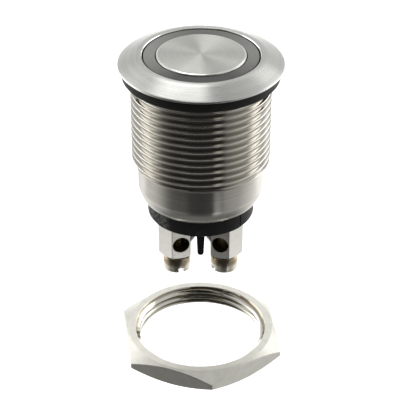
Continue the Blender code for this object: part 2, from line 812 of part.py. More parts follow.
def build_panel_nut(steel):
    axis = make_empty("nut_axis", z=nut_rest_height)
    shape = prism_shape(hexagon(nut_across_flats, nut_turn), -nut_thickness - 1 * mm, 1 * mm)
    nut = add_object("panel_nut", shape, steel, axis)
    face_radius = nut_across_flats / 2 - nut_face_margin
    turning = double_chamfer_shape(face_radius, -nut_thickness, 0.0, 48)
    combine(nut, make_cutter("nut_chamfer", turning, parent=axis), 'INTERSECT')
    bore = thread_crest_radius + slide_clearance
    sink = nut_countersink
    outline = [(0.0, 1 * mm),
               (bore + sink + 1 * mm, 1 * mm),
               (bore, -sink),
               (bore, sink - nut_thickness),
               (bore + sink + 1 * mm, -nut_thickness - 1 * mm),
               (0.0, -nut_thickness - 1 * mm)]
    hole = turned_shape(outline, 48)
    combine(nut, make_cutter("nut_bore", hole, parent=axis))
    return nut


def build_switch():
    clear_scene()
    steel = make_material("brushed_stainless", (0.72, 0.71, 0.69), 0.32, 1.0)
    plated = make_material("nickel_plate", (0.78, 0.76, 0.71), 0.22, 1.0)
    rubber = make_material("black_rubber", (0.02, 0.02, 0.02), 0.6, 0.0)
    black = make_material("black_plastic", (0.02, 0.02, 0.022), 0.42, 0.0)
    white = make_material("white_plastic", (0.8, 0.8, 0.77), 0.45, 0.0)
    diffuser = make_material("grey_diffuser", (0.3, 0.31, 0.32), 0.35, 0.0)
    brass = make_material("contact_brass", (0.75, 0.55, 0.25), 0.3, 1.0)
    silver = make_material("contact_silver", (0.88, 0.87, 0.85), 0.25, 1.0)
    laminate = make_material("board_laminate", (0.05, 0.22, 0.1), 0.5, 0.0)
    lens = make_material("lamp_lens", (0.85, 0.83, 0.6), 0.2, 0.0)
    wire = make_material("spring_steel", (0.6, 0.6, 0.6), 0.3, 1.0)

    button_axis = make_empty("button_axis")
    bridge_axis = make_empty("bridge_axis")
    build_barrel(steel)
    build_gasket(rubber)
    build_button_cap(steel, button_axis)
    build_light_ring(diffuser, button_axis)
    build_button_seal(rubber, button_axis)
    build_plunger(white, button_axis)
    build_bridge_clip(wire, button_axis)
    build_return_spring(wire)
    build_contact_spring(wire, button_axis)
    build_guide_body(black)
    build_lamp_board(laminate)
    build_lamps(lens)
    build_lamp_pins(plated)
    build_bridge(brass, silver, bridge_axis)
    build_fixed_contacts(silver)
    build_terminal_base(black)
    for side, label in ((-1, "left"), (1, "right")):
        build_post(label, side, plated)
        build_clamp_screw(label, side, plated)
    build_panel_nut(steel)


build_switch()
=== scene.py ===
import math
import bmesh
import bpy
import numpy as np
from mathutils import Matrix, Vector


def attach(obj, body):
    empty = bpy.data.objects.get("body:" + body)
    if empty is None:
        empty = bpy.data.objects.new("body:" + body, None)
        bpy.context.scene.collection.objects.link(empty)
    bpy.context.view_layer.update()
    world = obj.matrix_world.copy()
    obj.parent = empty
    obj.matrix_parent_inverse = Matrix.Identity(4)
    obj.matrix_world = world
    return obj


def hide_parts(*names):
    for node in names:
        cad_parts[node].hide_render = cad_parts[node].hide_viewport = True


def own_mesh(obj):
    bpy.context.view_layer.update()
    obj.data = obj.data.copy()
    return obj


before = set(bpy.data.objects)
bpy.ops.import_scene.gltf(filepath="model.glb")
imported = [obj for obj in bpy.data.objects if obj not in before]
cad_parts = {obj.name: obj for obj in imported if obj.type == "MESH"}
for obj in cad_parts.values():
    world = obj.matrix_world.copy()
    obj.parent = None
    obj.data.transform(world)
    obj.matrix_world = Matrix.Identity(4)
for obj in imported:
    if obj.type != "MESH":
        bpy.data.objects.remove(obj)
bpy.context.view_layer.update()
print("frame loaded:", len(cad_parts), "nodes")

# Sizes here are in millimetres, and a mesh is turned into metres when it is made.
# Heights are measured from the panel's front face, with the button looking up.
millimetre = 0.001
joinWithin = 4e-7        # metres: points of a grid that lie nearer than this are one
fullTurn = 2 * math.pi


# Meshes

def gridFaces(rows, columns):
    # One four-sided face between each pair of neighbouring rows and columns.
    row = np.arange(rows - 1)[:, None] * columns
    column = np.arange(columns - 1)[None, :]
    corner = row + column
    faces = np.stack([corner, corner + 1, corner + columns + 1, corner + columns], -1)
    return faces.reshape(-1, 4)


def addObject(name, data):
    # A new object in the scene with this mesh, lamp or camera.
    thing = bpy.data.objects.new(name, data)
    bpy.context.scene.collection.objects.link(thing)
    return thing


def surface(name, points, crease=40.0):
    # A grid of points (rows, columns, 3) made into a closed mesh: rows or columns that
    # meet are joined there, and a row that is a single point becomes a pole.
    rows, columns = points.shape[:2]
    mesh = bpy.data.meshes.new(name)
    mesh.from_pydata((points.reshape(-1, 3) * millimetre).tolist(), [],
                     gridFaces(rows, columns).tolist())
    tidy = bmesh.new()
    tidy.from_mesh(mesh)
    bmesh.ops.remove_doubles(tidy, verts=tidy.verts, dist=joinWithin)
    bmesh.ops.recalc_face_normals(tidy, faces=tidy.faces)
    if tidy.calc_volume(signed=True) < 0:
        bmesh.ops.reverse_faces(tidy, faces=tidy.faces)
    tidy.to_mesh(mesh)
    tidy.free()
    smoothMesh(mesh, crease)
    return addObject(name, mesh)


def smoothMesh(mesh, crease):
    # Round shading, but a hard edge where faces meet at more than the crease's degrees.
    mesh.shade_smooth()
    mesh.set_sharp_from_angle(angle=math.radians(crease))


def faceMiddles(thing):
    # How far the middle of each face lies from the axis, and its height, in millimetres.
    middles = np.empty(len(thing.data.polygons) * 3)
    thing.data.polygons.foreach_get("center", middles)
    x, y, z = middles.reshape(-1, 3).T / millimetre
    return np.hypot(x, y), z


def setFinishes(thing, finishes, zone):
    # Each face takes the finish that its zone's number counts to.
    for finish in finishes:
        thing.data.materials.append(finish)
    thing.data.polygons.foreach_set("material_index", zone.astype(np.int32))


def turned(profile, columns=192, middle=(0.0, 0.0)):
    # A profile of (radius, height) points carried round the vertical axis through middle:
    # x = radius cos(angle), y = radius sin(angle).
    profile = np.asarray(profile, float)
    angle = np.linspace(0, fullTurn, columns + 1)
    radius = profile[:, 0][:, None]
    x = middle[0] + radius * np.cos(angle)
    y = middle[1] + radius * np.sin(angle)
    z = np.broadcast_to(profile[:, 1][:, None], x.shape)
    return np.stack([x, y, z], -1)


def rod(radius, top, bottom, columns, middle):
    # A plain upright cylinder.
    return turned([(0, top), (radius, top), (radius, bottom), (0, bottom)], columns, middle)


def bow(middleRadius, middleHeight, radius, start, end, steps):
    # Points of a round stretch of a profile, with the angles in degrees.
    angle = np.radians(np.linspace(start, end, steps + 1))
    return list(zip(middleRadius + radius * np.cos(angle),
                    middleHeight + radius * np.sin(angle)))


def bend(first, knee, last, steps):
    # Points of a soft bend, a quadratic curve from first to last that is pulled to the knee.
    t = np.linspace(0, 1, steps + 1)[:, None]
    first, knee, last = (np.array(point, float) for point in (first, knee, last))
    return ((1 - t) ** 2 * first + 2 * t * (1 - t) * knee + t ** 2 * last).tolist()


def hexOutline(flats, rounding, turn, arcSteps, flatSteps):
    # Round a hexagon with small round corners: at each corner an arc of 60 degrees about
    # a point inside it, then evenly spaced points along the flat to the next corner.
    # The plane is taken as complex numbers, x + y i.
    middle = (flats / 2 - rounding) / math.cos(math.pi / 6)
    corner = turn + np.arange(6)[:, None] * math.pi / 3
    sweep = np.linspace(-math.pi / 6, math.pi / 6, arcSteps + 1)[None, :]
    arc = middle * np.exp(1j * corner) + rounding * np.exp(1j * (corner + sweep))
    share = np.linspace(0, 1, flatSteps + 1)[1:-1][None, :]
    flat = arc[:, -1:] * (1 - share) + np.roll(arc, -1, 0)[:, :1] * share
    outline = np.concatenate([arc, flat], 1).ravel()
    outline = np.append(outline, outline[0])
    return outline.real, outline.imag


def carve(target, name, points, operation="DIFFERENCE", crease=30.0):
    # Cuts a closed grid shape out of target, or joins it on, and keeps the result as the mesh.
    tool = surface(name, points)
    step = target.modifiers.new(name, "BOOLEAN")
    step.operation = operation
    step.object = tool
    step.solver = "EXACT"
    graph = bpy.context.evaluated_depsgraph_get()
    result = bpy.data.meshes.new_from_object(target.evaluated_get(graph))
    target.modifiers.clear()
    target.data = result
    smoothMesh(result, crease)
    bpy.data.objects.remove(tool, do_unlink=True)


def moved(points, x=0.0, z=0.0):
    # The same points carried sideways by x and up by z.
    return points + np.array([x, 0.0, z])


# Shader maths

class Wire:
    # A node's socket, so that maths on it is written as plain arithmetic.
    def __init__(self, tree, socket=None):
        self.tree = tree
        self.socket = socket

    def node(self, kind, settings=None, sockets=None, out=0):
        # Any node: its settings first, then a value or a link for each of its sockets.
        made = self.tree.nodes.new(kind)
        for key, value in (settings or {}).items():
            if key == "stops":
                setStops(made, value)
            else:
                setattr(made, key, value)
        for key, value in (sockets or {}).items():
            if isinstance(value, Wire):
                self.tree.links.new(value.socket, made.inputs[key])
            else:
                made.inputs[key].default_value = value
        return Wire(self.tree, made.outputs[out] if len(made.outputs) else None)

    def parts(self):
        # The x, y and z of a vector.
        apart = self.tree.nodes.new("ShaderNodeSeparateXYZ")
        self.tree.links.new(self.socket, apart.inputs[0])
        return [Wire(self.tree, part) for part in apart.outputs]

    def sum(self, operation, *values):
        # One Math node on this many numbers or sockets.
        return self.node("ShaderNodeMath", {"operation": operation}, dict(enumerate(values)))

    def __add__(self, other):
        return self.sum("ADD", self, other)

    def __radd__(self, other):
        return self.sum("ADD", other, self)

    def __sub__(self, other):
        return self.sum("SUBTRACT", self, other)

    def __rsub__(self, other):
        return self.sum("SUBTRACT", other, self)

    def __mul__(self, other):
        return self.sum("MULTIPLY", self, other)

    def __rmul__(self, other):
        return self.sum("MULTIPLY", other, self)

    def __truediv__(self, other):
        return self.sum("DIVIDE", self, other)

    def __pow__(self, other):
        return self.sum("POWER", self, other)

    def step(self, low, high):
        # 0 below low, 1 above high, and smooth between them; low may be the larger.
        return self.node("ShaderNodeMapRange", {"interpolation_type": "SMOOTHSTEP"},
                         {0: self, 1: min(low, high), 2: max(low, high),
                          3: float(low > high), 4: float(low < high)})

    def between(self, low, high, soft):
        # 1 from low to high and 0 outside, over soft on both sides of each end.
        return self.step(low - soft, low + soft) * self.step(high + soft, high - soft)

    def shade(self):
        # The brightness of a grey colour as a number.
        return self.node("ShaderNodeRGBToBW", None, {0: self})

    def mix(self, first, second):
        # A colour between two, with this value as the share of the second.
        return self.node("ShaderNodeMix", {"data_type": "RGBA"},
                         {0: self, 6: first, 7: second}, out=2)


def setStops(ramp, stops):
    # A ramp starts with two stops, and the others are added as they come.
    for number, (position, colour) in enumerate(stops):
        if number > 1:
            ramp.color_ramp.elements.new(position)
        spot = ramp.color_ramp.elements[number]
        spot.position = position
        spot.color = colour if isinstance(colour, tuple) else rgb(colour, colour, colour)


def rgb(red, green, blue):
    return (red, green, blue, 1.0)


def coordinates(tree):
    # The place on the piece in millimetres: x, y, z, and the radius and angle about the axis.
    start = Wire(tree)
    spot = start.node("ShaderNodeTexCoord", out=3)
    scaled = start.node("ShaderNodeVectorMath", {"operation": "SCALE"},
                        {0: spot, 3: 1 / millimetre})
    x, y, z = scaled.parts()
    radius = (x * x + y * y) ** 0.5
    angle = start.sum("ARCTAN2", y, x)
    return {"start": start, "spot": scaled, "x": x, "y": y, "z": z, "radius": radius,
            "angle": angle}


def noise(place, scale, x=None, y=None, z=None, detail=2.0, roughness=0.5):
    # Noise over the piece, or over three given values in place of x, y and z.
    start = place["start"]
    vector = place["spot"]
    if x is not None:
        vector = start.node("ShaderNodeCombineXYZ", None, {0: x, 1: y, 2: z})
    return start.node("ShaderNodeTexNoise", None,
                      {"Vector": vector, "Scale": scale, "Detail": detail,
                       "Roughness": roughness})


def newFinish(name, make=None, fixed=None):
    # A material: make gives the sockets that vary, and fixed the ones that don't.
    material = bpy.data.materials.new(name)
    material.use_nodes = True
    tree = material.node_tree
    shader = tree.nodes["Principled BSDF"]
    for key, value in (fixed or {}).items():
        shader.inputs[key].default_value = value
    for key, value in (make(coordinates(tree)) if make else {}).items():
        if isinstance(value, Wire):
            tree.links.new(value.socket, shader.inputs[key])
        else:
            shader.inputs[key].default_value = value
    return material


def bump(place, height, distance):
    # Raises the surface by height, given in 0..1, times distance in millimetres.
    return place["start"].node("ShaderNodeBump", None,
                               {"Strength": 1.0, "Distance": distance * millimetre,
                                "Height": height})


# Metals

metalTones = {
    "bezel": rgb(0.71, 0.72, 0.69),
    "bezelDull": rgb(0.60, 0.61, 0.585),
    "thread": rgb(0.76, 0.74, 0.70),
    "threadDull": rgb(0.68, 0.65, 0.60),
    # painted shade for the thread's grooves
    "threadGroovePaintedShade": rgb(0.475, 0.46, 0.42),
    "sleeve": rgb(0.585, 0.57, 0.53),
    "sleeveDull": rgb(0.50, 0.485, 0.445),
    "button": rgb(0.68, 0.685, 0.655),
    "buttonDull": rgb(0.60, 0.605, 0.575),
    "cut": rgb(0.95, 0.95, 0.92),
    "cutDull": rgb(0.88, 0.88, 0.85),
    "plated": rgb(0.86, 0.845, 0.80),
    "platedDull": rgb(0.81, 0.795, 0.75),
    # painted shade inside the wire holes, on the posts and on the screws' shanks
    "holePaintedShade": rgb(0.30, 0.24, 0.15),
    # painted shade for the nut's grooves
    "nutGroovePaintedShade": rgb(0.42, 0.37, 0.29),
    "screw": rgb(0.82, 0.79, 0.71),
    "screwDull": rgb(0.70, 0.665, 0.575),
    # painted shadow on the screw heads under the posts
    "screwPaintedShadow": rgb(0.42, 0.35, 0.255),
    "nut": rgb(0.86, 0.855, 0.80),
    "nutDull": rgb(0.77, 0.76, 0.70),
    "contact": rgb(0.78, 0.58, 0.28),
    "contactDull": rgb(0.66, 0.47, 0.2),
    "silver": rgb(0.88, 0.87, 0.85),
    "silverDull": rgb(0.76, 0.75, 0.72),
    "wire": rgb(0.6, 0.6, 0.6),
    "wireDull": rgb(0.46, 0.46, 0.47),
}
metal = {"Metallic": 1.0}


def brushed(strength):
    # Metal whose grooves run round the piece, so that a highlight is drawn out across them.
    return {"Metallic": 1.0, "Anisotropic": strength, "Anisotropic Rotation": 0.25}


def turnedMetal(tone, grain, depth, rough, along="radius"):
    # Fine grooves left by the tool: noise along the radius or the height that barely
    # changes round the piece, with a wide cloudiness over it. The grain is how many
    # grooves go to a millimetre, and rough is the lowest and the highest roughness.
    def make(place):
        across = place["radius"] if along == "radius" else place["z"]
        cosine = place["start"].sum("COSINE", place["angle"])
        sine = place["start"].sum("SINE", place["angle"])
        grooves = noise(place, 1.0, across * grain, cosine * 0.4, sine * 0.4, detail=3.0)
        fine = noise(place, 1.0, across * grain * 4, cosine * 0.9, sine * 0.9)
        cloud = noise(place, 0.35, detail=3.0)
        share = grooves.step(0.3, 0.7) * 0.6 + cloud.step(0.35, 0.7) * 0.4
        return {"Base Color": share.mix(metalTones[tone + "Dull"], metalTones[tone]),
                "Roughness": rough[0] + fine.step(0.3, 0.7) * (rough[1] - rough[0]),
                "Normal": bump(place, grooves * 0.6 + fine * 0.4, depth)}
    return make


def satinMetal(tone, rough=(0.22, 0.36), scale=2.5):
    # A ground or plated face: fine speckle, faint scratches and a wide cloudiness.
    def make(place):
        speckle = noise(place, scale * 6, detail=4.0, roughness=0.7)
        cloud = noise(place, scale * 0.3)
        scratch = noise(place, 1.0, place["x"] * 0.6, place["y"] * 0.6, place["z"] * 14)
        share = cloud.step(0.3, 0.7) * 0.6 + scratch.step(0.3, 0.7) * 0.4
        return {"Base Color": share.mix(metalTones[tone + "Dull"], metalTones[tone]),
                "Roughness": rough[0] + speckle.step(0.3, 0.7) * (rough[1] - rough[0]),
                "Normal": bump(place, speckle * 0.5 + scratch * 0.5, 0.002)}
    return make


bezelSteel = newFinish("bezelSteel", turnedMetal("bezel", 9.0, 0.002, (0.24, 0.34)),
                       brushed(0.85))
sleeveSteel = newFinish("sleeveSteel",
                        turnedMetal("sleeve", 7.0, 0.0003, (0.14, 0.2), along="z"),
                        brushed(0.5))
buttonSteel = newFinish("buttonSteel", turnedMetal("button", 12.0, 0.002, (0.34, 0.42)),
                        brushed(0.9))
brightCut = newFinish("brightCut", turnedMetal("cut", 6.0, 0.0003, (0.1, 0.16)), metal)
nutSteel = newFinish("nutSteel", satinMetal("nut", rough=(0.34, 0.46)), metal)
platedBrass = newFinish("platedBrass", satinMetal("plated", rough=(0.14, 0.24), scale=5.0),
                        metal)
contactBrass = newFinish("contactBrass", satinMetal("contact"), metal)
contactSilver = newFinish("contactSilver", satinMetal("silver"), metal)
springSteel = newFinish("springSteel", satinMetal("wire"), metal)
print("metals made")


# Rubber and plastics

plasticTones = {
    "rubber": rgb(0.004, 0.004, 0.003),
    "black": rgb(0.004, 0.004, 0.004),
    "base": rgb(0.005, 0.005, 0.005),
    "scuffed": rgb(0.075, 0.075, 0.07),
    "milky": rgb(0.122, 0.122, 0.115),
    # painted shade: the ring's darker tone, for its front and back
    "milkyPaintedShade": rgb(0.030, 0.030, 0.028),
    "white": rgb(0.78, 0.78, 0.74),
    "board": rgb(0.03, 0.16, 0.07),
    "lens": rgb(0.4, 0.39, 0.28),
}
scuff = {"x": (-4.0, -5.2), "y": (2.4, 0.0), "grain": (0.40, 0.60), "depth": 0.15}


def moulded(tone, shine, depth, scale):
    # Rubber or plastic from a mould: a fine pebble, with paler dust here and there.
    def make(place):
        pebble = noise(place, scale, detail=3.0)
        dust = noise(place, 0.9, detail=4.0).step(0.55, 0.8)
        dusty = rgb(*(channel * 2 for channel in plasticTones[tone][:3]))
        return {"Base Color": dust.mix(plasticTones[tone], dusty),
                "Roughness": shine[0] + pebble.step(0.3, 0.7) * (shine[1] - shine[0]),
                "Normal": bump(place, pebble, depth)}
    return make


def mouldedBase(s):
    # The base's black is scuffed on its left side, where the moulding's skin is rough:
    # the patch is a stretch of the wall, and coarse noise raises and greys it.
    def make(place):
        made = moulded("base", (0.4, 0.52), 0.004, 6.0)(place)
        patch = place["x"].step(*s["x"]) * place["y"].step(*s["y"])
        coarse = noise(place, 2.4, detail=5.0, roughness=0.65).step(*s["grain"])
        fine = noise(place, 6.0, detail=3.0)
        made["Base Color"] = (patch * coarse).mix(made["Base Color"], plasticTones["scuffed"])
        made["Normal"] = bump(place, coarse * patch * 0.8 + fine * 0.2, s["depth"])
        return made
    return make


def ringPaintedShade():
    # Milky plastic with painted shade: paler at its two sides than in front and behind, as the
    # share is the square of the cosine of the angle, and a slow change along x and y paints it
    # darker towards the front and the right.
    def make(place):
        side = (place["x"] / place["radius"]) ** 2.0
        cloud = noise(place, 3.0, detail=4.0)
        slow = place["y"] * 0.04 - place["x"] * 0.014
        # painted shade: darker in front and behind than at the sides
        share = side * 0.76 + cloud.step(0.35, 0.65) * 0.12 + slow
        return {"Base Color": share.mix(plasticTones["milkyPaintedShade"], plasticTones["milky"]),
                "Roughness": 0.34 + cloud.step(0.3, 0.7) * 0.1,
                "Normal": bump(place, cloud, 0.002)}
    return make


blackRubber = newFinish("blackRubber", moulded("rubber", (0.5, 0.62), 0.006, 9.0),
                        {"Specular IOR Level": 0.2})
blackPlastic = newFinish("blackPlastic", moulded("black", (0.4, 0.52), 0.004, 6.0),
                         {"Specular IOR Level": 0.22})
basePlastic = newFinish("basePlastic", mouldedBase(scuff), {"Specular IOR Level": 0.1})
greyDiffuser = newFinish("greyDiffuser", ringPaintedShade(), {"Specular IOR Level": 0.3})
whitePlastic = newFinish("whitePlastic", moulded("white", (0.4, 0.5), 0.003, 6.0))
boardLaminate = newFinish("boardLaminate", moulded("board", (0.3, 0.4), 0.003, 5.0))
lampLens = newFinish("lampLens", moulded("lens", (0.15, 0.25), 0.002, 4.0))
print("plastics made")


# Barrel

barrel = {
    "columns": 240,
    "crest": 9.5,
    "root": 8.885,
    "pitch": 1.0,
    "crestHeight": -0.51,       # where a crest crosses the angle 0
    "threadTop": 0.5,
    "chamferTop": -12.41,
    "plain": 8.68,
    "rollTop": -16.4,
    "end": -18.67,
    "mouth": 7.73,
    "mouthTop": -17.75,
    "rollEdge": 0.08,
    "bore": 8.2,
    "boreEnd": -17.1,
    "well": 7.87,
    "wellFloor": -0.5,
    "top": 3.0,
    "lip": 0.11,
    "brow": [(8.2, 3.0), (8.55, 3.0), (9.0, 2.8)],          # the soft bend into the bevel
    "shoulder": [(10.85, 1.97), (11.1, 1.86), (11.12, 1.78)],
    "rim": 11.12,
    "rimBottom": 1.6,
    "neck": 8.95,
    "flangeFrom": 1.5,          # the bezel's finish reaches down to here
}
# Half of the thread's outline: how far from the crest, and how deep, as shares of the pitch
threadShape = {
    "offset": (0.0, 0.05, 0.065, 0.08, 0.22, 0.36, 0.40, 0.45, 0.5),
    "depth": (0.0, 0.0, 0.008, 0.045, 0.31, 0.56, 0.60, 0.61, 0.615),
}


def threadRadius(angle, height, crest, crestHeight, pitch):
    # The distance from the nearest crest, as a share of the pitch, gives the depth.
    turns = (height - crestHeight) / pitch - angle / fullTurn
    offset = np.abs(turns - np.round(turns))
    return crest - np.interp(offset, threadShape["offset"], threadShape["depth"]) * pitch


def helixRows(angle, low, high, crestHeight, pitch):
    # Heights of rows that follow the thread: height = row + pitch * angle / full turn,
    # held between low and high, so that the rows close up at both ends of the thread.
    offset = np.array(threadShape["offset"])
    inTurn = np.concatenate([-offset[:0:-1], offset[:-1]])
    first = math.floor((low - crestHeight) / pitch) - 2
    last = math.ceil((high - crestHeight) / pitch) + 2
    rows = (crestHeight + (np.arange(first, last)[:, None] + inTurn) * pitch).ravel()
    heights = rows[:, None] + pitch * angle[None, :] / fullTurn
    heights = np.clip(heights, low, high)
    moving = (heights > low).any(1) & (heights < high).any(1)
    keep = moving.copy()
    keep[1:] |= moving[:-1]
    keep[:-1] |= moving[1:]
    return heights[keep]


def joinRows(before, radius, heights, after, angle):
    # Profile points, thread rows and more profile points as one grid.
    before = np.array(before, float)
    after = np.array(after, float)
    wide = np.ones_like(angle)
    allRadius = np.vstack([before[:, :1] * wide, radius, after[:, :1] * wide])
    allHeight = np.vstack([before[:, 1:] * wide, heights, after[:, 1:] * wide])
    return np.stack([allRadius * np.cos(angle), allRadius * np.sin(angle), allHeight], -1)


def makeBarrel(b):
    # A profile of the well and the flange, the thread's rows, and a profile of the plain
    # end, which is rolled in along a circle that touches it, and of the bore.
    angle = np.linspace(0, fullTurn, b["columns"] + 1)
    chamferEnd = b["chamferTop"] - (b["crest"] - b["plain"])
    heights = helixRows(angle, chamferEnd, b["threadTop"], b["crestHeight"], b["pitch"])[::-1]
    radius = threadRadius(angle[None, :], heights, b["crest"], b["crestHeight"], b["pitch"])
    fade = np.clip((heights - chamferEnd - 0.15) / 0.5, 0, 1)               # the groove runs out
    radius = b["crest"] - (b["crest"] - radius) * fade
    radius = np.minimum(radius, b["crest"] - (b["chamferTop"] - heights))   # the end chamfer
    reach = b["plain"] - (b["mouth"] + b["rollEdge"])
    rollHeight = b["rollTop"] - b["end"]
    rollRadius = (reach ** 2 + rollHeight ** 2) / (2 * reach)
    rollAngle = math.degrees(math.asin(rollHeight / rollRadius))
    before = [(b["well"], b["wellFloor"])]
    before += [(b["well"] + max(0, step), b["top"] - b["lip"] + step)      # the lip's chamfer
               for step in (-0.02, 0.0, 0.02, b["lip"] - 0.02, b["lip"])]
    before += [(b["well"] + b["lip"] + 0.02, b["top"])]
    before += bend(*b["brow"], 8) + bend(*b["shoulder"], 4)
    before += bow(b["rim"] - 0.1, b["rimBottom"] + 0.08, 0.1, 0, -90, 4)
    before += [(b["neck"], b["rimBottom"] - 0.02), (b["neck"], b["threadTop"] + 0.2)]
    after = [(b["plain"], chamferEnd - 0.02), (b["plain"], b["rollTop"])]
    after += bow(b["plain"] - rollRadius, b["rollTop"], rollRadius, -1, -rollAngle, 14)
    after += bow(b["mouth"] + 0.05, b["end"] + 0.05, 0.05, -80, -180, 4)
    after += [(b["mouth"], b["mouthTop"]), (b["bore"], b["boreEnd"]),
              (b["bore"], b["wellFloor"]), (b["well"], b["wellFloor"])]
    thing = surface("barrelShell", joinRows(before, radius, heights, after, angle), crease=50.0)
    across, height = faceMiddles(thing)
    onThread = (height > chamferEnd) & (across > b["plain"] + 0.01)
    zone = np.where(height > b["flangeFrom"], 0, np.where(onThread, 1, 2))
    zone[(height > b["top"] - b["lip"]) & (across < b["well"] + b["lip"])] = 3
    setFinishes(thing, (bezelSteel, threadSteel, sleeveSteel, brightCut), zone)
    return thing


def threadMetal(b):
    # Turned metal with painted shade down in the grooves, which are darker.
    def make(place):
        made = turnedMetal("thread", 5.0, 0.0002, (0.09, 0.14), along="z")(place)
        # painted shade: the grooves darker than the crests
        deep = place["radius"].step(b["crest"] - 0.04, b["root"] + 0.3)
        made["Base Color"] = deep.mix(made["Base Color"], metalTones["threadGroovePaintedShade"])
        return made
    return make


threadSteel = newFinish("threadSteel", threadMetal(barrel), metal)
barrelShell = makeBarrel(barrel)
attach(barrelShell, "housing")
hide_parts("barrel_housing")
print("barrel made:", len(barrelShell.data.polygons), "faces")


# Gasket under the flange

gasket = {"inner": 9.56, "outer": 10.6, "top": 1.585, "bottom": 0.0, "rounding": 0.25}


def makeGasket(g):
    # A turned ring with both outer edges rounded.
    r = g["rounding"]
    profile = [(g["inner"], g["top"])]
    profile += bow(g["outer"] - r, g["top"] - r, r, 90, 0, 6)
    profile += bow(g["outer"] - r, g["bottom"] + r, r, 0, -90, 6)
    profile += [(g["inner"], g["bottom"]), (g["inner"], g["top"])]
    return surface("gasketRing", turned(profile), crease=50.0)


gasketRing = makeGasket(gasket)
gasketRing.data.materials.append(blackRubber)
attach(gasketRing, "housing")
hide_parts("flange_gasket")
print("gasket made")


# Button and light ring

button = {"radius": 6.0, "top": 3.07, "bevelWidth": 0.22, "bevelHeight": 0.1, "under": 2.2,
          "spigot": 3.2, "spigotEnd": 1.6}


def makeButton(b):
    # A turned disc: a flat face, a bevel with a soft bend at both of its edges, the straight
    # side, and the spigot under it.
    edge = b["top"] - b["bevelHeight"]
    inner = b["radius"] - b["bevelWidth"]
    profile = [(0.0, b["top"]), (1.5, b["top"]), (3.5, b["top"])]
    profile += bend((inner - 0.06, b["top"]), (inner, b["top"]),
                    (inner + 0.04, b["top"] - 0.018), 3)
    profile += bend((b["radius"] - 0.04, edge + 0.018), (b["radius"], edge),
                    (b["radius"], edge - 0.06), 3)
    profile += [(b["radius"], b["under"]), (b["spigot"], b["under"]),
                (b["spigot"], b["spigotEnd"]), (0.0, b["spigotEnd"])]
    thing = surface("buttonDisc", turned(profile), crease=30.0)
    across, height = faceMiddles(thing)
    onBevel = (across > inner - 0.03) & (height > b["under"] + 0.6)
    setFinishes(thing, (buttonSteel, brightCut), onBevel)
    return thing


buttonDisc = makeButton(button)
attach(buttonDisc, "button")
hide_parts("button_cap")

ring = {"inner": 6.12, "outer": 7.69, "top": 2.87, "chamfer": 0.06,
        # the carrier under the ring, which guides it in the well: radius and height
        "carrier": [(7.69, 0.81), (6.98, 0.81), (6.98, -0.13), (7.69, -0.13), (7.69, -0.8),
                    (8.05, -0.8), (8.05, -1.7), (6.2, -1.7), (6.2, -0.2), (1.7, -0.2),
                    (1.7, 1.3), (3.4, 1.3), (3.4, 1.9), (6.12, 1.9)]}


def makeRing(r):
    # A turned ring with a flat top and softened edges, in one with its carrier.
    profile = [(r["inner"], r["top"] - 0.05), (r["inner"] + 0.05, r["top"])]
    profile += [(r["outer"] - r["chamfer"] - 0.02, r["top"])]
    profile += bend((r["outer"] - r["chamfer"], r["top"]), (r["outer"], r["top"]),
                    (r["outer"], r["top"] - r["chamfer"]), 4)
    profile += r["carrier"] + [(r["inner"], r["top"] - 0.05)]
    return surface("lightRing", turned(profile), crease=30.0)


lightRing = makeRing(ring)
lightRing.data.materials.append(greyDiffuser)
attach(lightRing, "button")
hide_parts("light_ring")
print("button and ring made")


# Terminal base with its barrier rib

base = {"radius": 7.46, "relief": 0.05, "reliefTop": -18.92, "bottom": -21.14, "top": -14.6,
        "step": -17.05, "flange": 8.0, "rounding": 0.25,
        "padStart": -143.0, "padEnd": -43.6,        # degrees round the wall
        "line": (0.0, 0.3, 1.6, 1.9), "lineDepth": 0.14,
        "ribTop": 1.4, "ribTip": 0.9, "ribWidth": 5.6, "ribEnd": -27.44, "ribSoft": 0.12,
        "ribEndShare": 1 - 0.12 / 0.56,             # how thick the blade is at its two ends
        "holeSpan": (-14, -22),
        "postHole": {"x": 3.4, "y": 0.0, "radius": 1.29, "columns": 48},
        "pinHole": {"x": 1.6, "y": 6.3, "radius": 0.4, "columns": 24}}


def makeBase(b):
    # A turned base whose wall is inset by the relief all round but for the pad in front,
    # with a thin line cut beside the pad; then the rib is joined on and the holes cut.
    line = b["padEnd"] + np.array(b["line"])
    degrees = np.unique(np.concatenate([np.linspace(-180, 180, 193),
                                        [b["padStart"] - 0.5, b["padStart"]], line]))
    angle = np.radians(degrees)
    onPad = (degrees >= b["padStart"] - 1e-6) & (degrees <= b["padEnd"] + 1e-6)
    inset = np.where(onPad, 0.0, b["relief"])
    inset += np.where((degrees > line[0] + 0.1) & (degrees < line[3] - 0.1), b["lineDepth"], 0)
    profile = [(0.0, b["top"]), (b["flange"], b["top"]), (b["flange"], b["step"]),
               (b["radius"], b["step"]), (b["radius"], b["reliefTop"]),
               (b["radius"], b["reliefTop"] - 0.01)]
    profile += bow(b["radius"] - b["rounding"], b["bottom"] + b["rounding"], b["rounding"],
                   0, -90, 6)
    profile = np.array(profile + [(0.0, b["bottom"])])
    radius = profile[:, :1] * np.ones_like(angle)
    low = (profile[:, 1] < b["reliefTop"] - 0.005) & (profile[:, 0] > 1.0)
    radius[low] -= inset
    grid = np.stack([radius * np.cos(angle), radius * np.sin(angle),
                     profile[:, 1:] * np.ones_like(angle)], -1)
    thing = surface("terminalBase", grid, crease=30.0)
    carve(thing, "ribBlade", ribGrid(b), "UNION")
    for side in (-1, 1):
        for name in ("postHole", "pinHole"):
            hole = b[name]
            middle = (side * hole["x"], hole["y"])
            carve(thing, name, rod(hole["radius"], *b["holeSpan"], hole["columns"], middle))
    return thing


